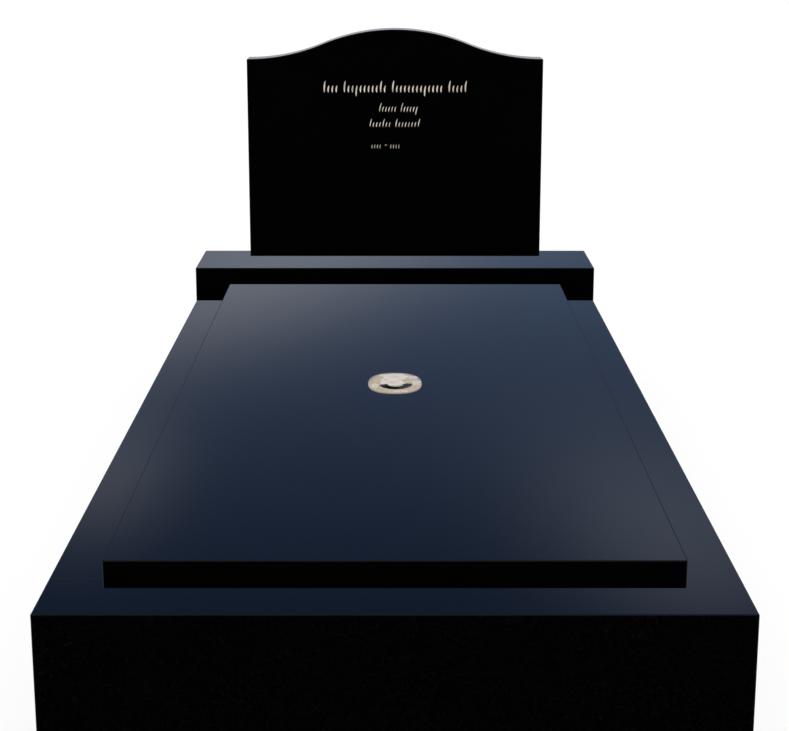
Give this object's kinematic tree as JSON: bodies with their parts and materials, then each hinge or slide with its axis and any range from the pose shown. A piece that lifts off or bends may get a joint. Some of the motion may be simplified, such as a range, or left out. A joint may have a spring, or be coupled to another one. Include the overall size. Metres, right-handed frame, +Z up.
{
  "type": "headstone",
  "caption": "Upright headstone with a serpentine top and rows of cut strokes, on a base at the head of a kerbed plot covered by a ledger with an oval medallion.",
  "frame": {"origin": "middle of the plot on the ground, under the middle of the whole kerb set", "axes": "+Z up, +Y from the foot of the grave towards the headstone, +X to the right of someone who reads the stone"},
  "size_m": [0.914, 2.134, 0.8086],
  "materials": {
    "granite": "black granite, polished on every face that shows and sawn underneath",
    "medallion": "glazed, painted in mottled beige, cream and black"
  },
  "bodies": {
    "root": {"kerb_foot": "granite", "kerb_left": "granite", "kerb_right": "granite", "kerb_head": "granite", "ledger": "granite", "base": "granite", "headstone": "granite", "medallion": "medallion"}
  },
  "joints": []
}
